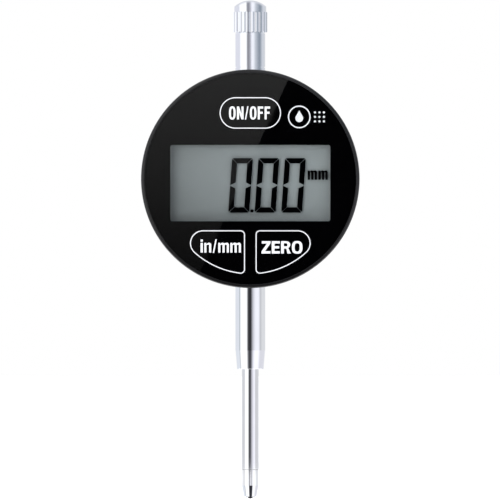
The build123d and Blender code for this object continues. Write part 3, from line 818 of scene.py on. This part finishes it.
class Sky(Nodes):
    """The world around the object."""

    def mix(self, amount, first, second):
        """Colour first where amount is 0, second where it is 1."""
        made = self.tree.nodes.new("ShaderNodeMix")
        made.data_type = "RGBA"
        colours = [socket for socket in made.inputs if socket.type == "RGBA"]
        self.plug(made.inputs[0], amount)
        self.plug(colours[0], first)
        self.plug(colours[1], second)
        return next(socket for socket in made.outputs if socket.type == "RGBA")

    def ramp(self, value, low, high, to_low=0.0, to_high=1.0):
        """Maps low to high onto to_low to to_high, smoothly and without going past either."""
        made = self.tree.nodes.new("ShaderNodeMapRange")
        made.interpolation_type = "SMOOTHSTEP"
        for name, number in (("From Min", low), ("From Max", high), ("To Min", to_low), ("To Max", to_high)):
            made.inputs[name].default_value = number
        self.plug(made.inputs["Value"], value)
        return made.outputs[0]

    def around(self, turn, stops):
        """Colours by direction, from stops in degrees; turn runs from 0 to 1 round the horizon."""
        made = self.tree.nodes.new("ShaderNodeValToRGB")
        self.plug(made.inputs[0], turn)
        elements = made.color_ramp.elements
        while len(elements) < len(stops):
            elements.new(0.5)
        for element, (degrees, colour) in zip(elements, stops):
            element.position = degrees / 360 + 0.5
            element.color = (*colour, 1)
        return made.outputs[0]


def studio():
    """Sheets and darker gaps round the object, pale above and below, and the cards the face reflects."""
    world = bpy.data.worlds.new("studio")
    scene.world = world
    world.use_nodes = True
    tree = world.node_tree
    sky = Sky(tree)
    split = tree.nodes.new("ShaderNodeSeparateXYZ")
    sky.plug(split.inputs[0], tree.nodes.new("ShaderNodeTexCoord").outputs["Generated"])
    x, y, z = split.outputs
    forward = sky.maths("MULTIPLY", y, -1.0)
    turn = sky.maths("MULTIPLY_ADD", sky.maths("ARCTAN2", x, forward), 1 / (2 * math.pi), 0.5)

    around = sky.around(turn, AROUND_SLEEVE)
    for height, stops in RINGS_BELOW:
        slope = (height * MM - VIEW_HEIGHT) / CAMERA_DISTANCE
        around = sky.mix(sky.maths("LESS_THAN", z, slope), around, sky.around(turn, stops))

    # overhead the sheets lean in over the top, so that the rounded cap shows the same stripes as the sleeve
    # below it, and behind them it is pale grey
    spread = sky.maths("SQRT", sky.maths("MULTIPLY_ADD", y, -2.0, 2.0001))
    sideways = sky.maths("MULTIPLY", sky.maths("DIVIDE", x, spread), CAP_DOME_BULGE)
    sideways = sky.maths("MINIMUM", sky.maths("MAXIMUM", sideways, -0.999), 0.999)
    side = sky.maths("MULTIPLY_ADD", sky.maths("ARCSINE", sideways), 1 / math.pi, 0.5)
    overhead = sky.mix(sky.ramp(y, 0.45, 0.95), sky.around(side, AROUND_SLEEVE), PALE_BEHIND)
    surround = sky.mix(sky.ramp(z, 0.05, 0.25), around, overhead)
    # underneath it is pale, with a dark patch towards the front
    middle = sky.maths("LESS_THAN", sky.maths("ABSOLUTE", x), PATCH_HALF)
    patch = sky.maths("MULTIPLY", middle, sky.ramp(y, 0.1, -0.1))
    under = sky.mix(patch, PALE_BELOW, DARK_BELOW)
    surround = sky.mix(sky.ramp(z, -0.45, -0.55), surround, under)

    # straight ahead, a black card with a grey one in front of its left side, whose slanting edge crosses the
    # face
    front = sky.maths("MAXIMUM", forward, 0.001)
    across = sky.maths("DIVIDE", x, front)
    up = sky.maths("DIVIDE", z, front)
    edge = sky.maths("MULTIPLY_ADD", up, CARD_SLOPE, CARD_SHIFT / CAMERA_DISTANCE)
    grey = sky.maths("MULTIPLY", sky.maths("LESS_THAN", across, edge), sky.ramp(up, *CARD_RISE))
    card = sky.mix(sky.maths("GREATER_THAN", grey, 0.0), BLACK_CARD, grey)
    ahead = sky.maths("GREATER_THAN", forward, 0.5)
    for operation, value, limit in (
        ("LESS_THAN", sky.maths("ABSOLUTE", across), CARD_SIDE),
        ("GREATER_THAN", up, CARD_LOW),
        ("LESS_THAN", up, CARD_TOP),
    ):
        ahead = sky.maths("MULTIPLY", ahead, sky.maths(operation, value, limit))
    lit = sky.mix(ahead, surround, card)

    seen = sky.mix(tree.nodes.new("ShaderNodeLightPath").outputs["Is Camera Ray"], lit, (1, 1, 1, 1))
    background = tree.nodes.new("ShaderNodeBackground")
    sky.plug(background.inputs[0], seen)
    output = tree.nodes.new("ShaderNodeOutputWorld")
    tree.links.new(background.outputs[0], output.inputs[0])


def soft_light(name, place, target, size, power):
    """A square soft box aimed at a point, unseen by the camera."""
    data = bpy.data.lights.new(name, "AREA")
    data.shape = "SQUARE"
    data.size = size
    data.energy = power
    made = bpy.data.objects.new(name, data)
    made.location = place
    made.rotation_euler = (Vector(target) - Vector(place)).to_track_quat("-Z", "Y").to_euler()
    made.visible_camera = False
    made.visible_glossy = False
    scene.collection.objects.link(made)


def back_light():
    """Wide even light from behind and above, which keeps the floor white and doesn't reach the face."""
    data = bpy.data.lights.new("back_light", "SUN")
    data.energy = 2.2
    data.angle = math.radians(50)
    made = bpy.data.objects.new("back_light", data)
    made.rotation_euler = (math.radians(-35), 0, 0)
    made.visible_glossy = False
    scene.collection.objects.link(made)


floor()
camera()
studio()
soft_light("key_light", place=(-0.5, -1.1, 0.2), target=(0, 0, 0.03), size=0.5, power=4.4)
back_light()

bpy.context.view_layer.update()
